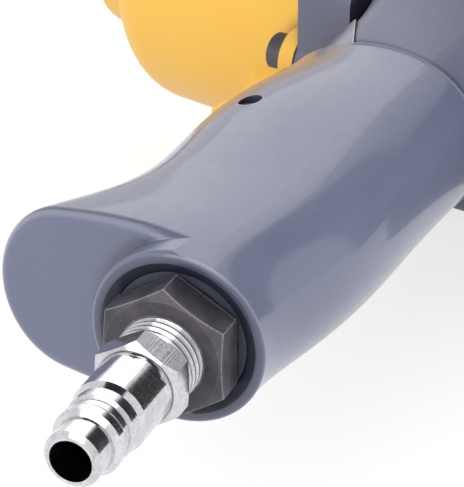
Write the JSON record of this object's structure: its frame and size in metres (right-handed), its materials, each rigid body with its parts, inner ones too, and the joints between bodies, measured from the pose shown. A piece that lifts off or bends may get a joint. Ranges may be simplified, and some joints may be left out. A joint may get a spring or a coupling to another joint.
{
  "type": "air impact wrench",
  "caption": "Pistol-grip air impact wrench with square drive, twin-hammer case, vane motor, trigger, reversing dial and quick-connect air plug",
  "frame": {"origin": "centre of the end face of the square drive", "axes": "+X forward along the drive axis, +Y down the handle to its butt, +Z out of the tool's left side, up as it lies"},
  "size_m": [0.1773, 0.2117, 0.0844],
  "materials": {
    "case_paint": "satin yellow enamel",
    "housing_paint": "blue-grey paint on a casting",
    "grip_skin": "satin blue-grey moulding",
    "trigger_plastic": "gloss yellow moulding",
    "black_steel": "black oxide",
    "chrome": "bright plating",
    "steel": "ground steel",
    "cover_paint": "dark grey paint on a casting",
    "bronze": "sintered bronze",
    "rubber": "nitrile rubber",
    "gasket_fibre": "gasket fibre",
    "vane_composite": "phenolic composite",
    "dial_plastic": "black moulding"
  },
  "bodies": {
    "housing": {"motor_housing": "housing_paint", "hammer_case": "case_paint", "case_screws": "black_steel", "front_gasket": "gasket_fibre", "grip": "grip_skin", "grip_pin": "black_steel", "rear_cover": "cover_paint", "cover_screws": "black_steel", "rear_gasket": "gasket_fibre", "anvil_bush": "bronze", "thrust_washer": "bronze", "shaft_seal": "rubber", "front_plate": "steel", "rear_plate": "steel", "cylinder_liner": "steel", "front_bearing": "steel", "rear_bearing": "steel", "motor_dowel": "steel", "stem_bush": "bronze", "valve_seat": "bronze", "valve_spring": "steel", "spring_retainer": "steel", "inlet_bush": "black_steel", "inlet_washer": "rubber", "inlet_screen": "bronze", "air_plug": "chrome"},
    "drive": {"rotor": "steel", "vanes": "vane_composite", "hammer_cage": "steel", "hammer_pins": "steel"},
    "rear_hammer_body": {"rear_hammer": "steel"},
    "front_hammer_body": {"front_hammer": "steel"},
    "anvil_body": {"anvil": "steel", "retainer_ring": "steel", "retainer_cushion": "rubber"},
    "trigger_body": {"trigger": "trigger_plastic", "trigger_stem": "steel"},
    "valve_body": {"throttle_valve": "steel"},
    "reverse_body": {"reverse_valve": "steel", "reverse_dial": "dial_plastic", "dial_screw": "steel", "valve_oring": "rubber"}
  },
  "joints": [
    {"name": "drive_spin", "type": "hinge", "parent": "housing", "child": "drive", "pos_m": [-0.1, 0, 0], "axis": [1, 0, 0], "continuous": true},
    {"name": "anvil_spin", "type": "hinge", "parent": "housing", "child": "anvil_body", "pos_m": [-0.02, 0, 0], "axis": [1, 0, 0], "continuous": true},
    {"name": "rear_hammer_swing", "type": "hinge", "parent": "drive", "child": "rear_hammer_body", "pos_m": [-0.062, 0.0198, 0], "axis": [1, 0, 0], "range_deg": [-3, 3]},
    {"name": "front_hammer_swing", "type": "hinge", "parent": "drive", "child": "front_hammer_body", "pos_m": [-0.062, -0.0198, 0], "axis": [1, 0, 0], "range_deg": [-3, 3]},
    {"name": "trigger_pull", "type": "slide", "parent": "housing", "child": "trigger_body", "axis": [-1, 0, 0], "range_m": [0, 0.0035], "stiffness_N_per_m": 1200, "springref_m": -0.003},
    {"name": "valve_tilt", "type": "hinge", "parent": "housing", "child": "valve_body", "pos_m": [-0.10922, 0.07858, 0], "axis": [0, 0, -1], "range_deg": [0, 11], "deforming": ["valve_spring"]},
    {"name": "reverse_turn", "type": "hinge", "parent": "housing", "child": "reverse_body", "pos_m": [-0.167, 0, 0], "axis": [-1, 0, 0], "range_deg": [-45, 45]}
  ],
  "couplings": [
    {"joint": "anvil_spin", "follows": "drive_spin", "ratio": 1},
    {"joint": "valve_tilt", "follows": "trigger_pull", "rad_per_m": 53.829}
  ]
}
